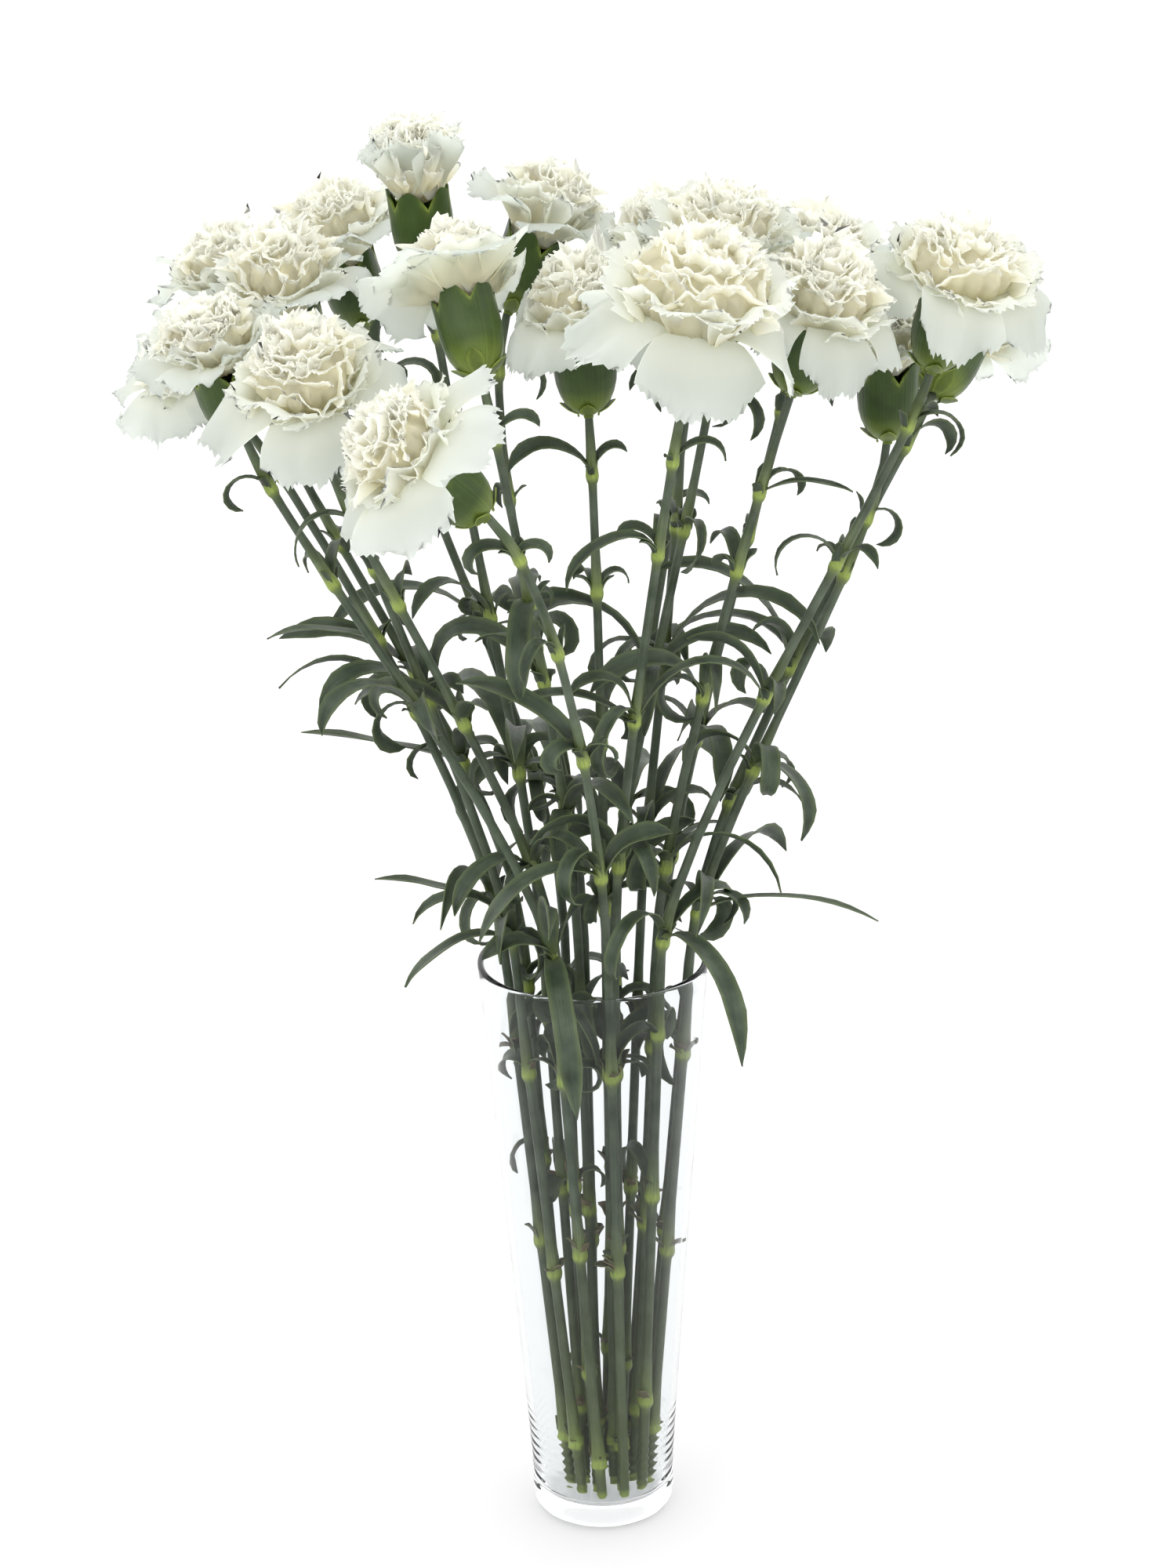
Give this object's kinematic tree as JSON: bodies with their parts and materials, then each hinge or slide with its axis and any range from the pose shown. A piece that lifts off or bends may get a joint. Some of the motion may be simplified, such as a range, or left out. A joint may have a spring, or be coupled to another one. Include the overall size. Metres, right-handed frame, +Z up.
{
  "type": "glass vase of cut carnations",
  "caption": "Tall tapered clear glass vase holding a loose fan of long-stemmed white carnations with toothed, ruffled petals and narrow curling grey-green leaves.",
  "frame": {"origin": "centre of the vase's flat underside, where it stands", "axes": "+Z up along the vase's axis; the picture's view looks along +Y, with +X to its right"},
  "size_m": [0.4209, 0.3303, 0.6657],
  "materials": {
    "glass": "clear pressed glass, colourless with a faint cool tint, thick foot, polished rim",
    "stem": "matte grey-green leaves and stems with a waxy bloom, yellow-green swollen joints, mid-green cups",
    "petal": "soft matte creamy-white petals, warmer and yellower in the folds"
  },
  "bodies": {
    "root": {"vase": "glass", "stem_01": "stem", "bloom_01": "petal", "stem_02": "stem", "bloom_02": "petal", "stem_03": "stem", "bloom_03": "petal", "stem_04": "stem", "bloom_04": "petal", "stem_05": "stem", "bloom_05": "petal", "stem_06": "stem", "bloom_06": "petal", "stem_07": "stem", "bloom_07": "petal", "stem_08": "stem", "bloom_08": "petal", "stem_09": "stem", "bloom_09": "petal", "stem_10": "stem", "bloom_10": "petal", "stem_11": "stem", "bloom_11": "petal", "stem_12": "stem", "bloom_12": "petal", "stem_13": "stem", "bloom_13": "petal", "stem_14": "stem", "bloom_14": "petal", "stem_15": "stem", "bloom_15": "petal", "stem_16": "stem", "bloom_16": "petal", "stem_17": "stem", "bloom_17": "petal", "stem_18": "stem", "bloom_18": "petal", "stem_19": "stem", "bloom_19": "petal", "stem_20": "stem", "bloom_20": "petal"}
  },
  "joints": []
}
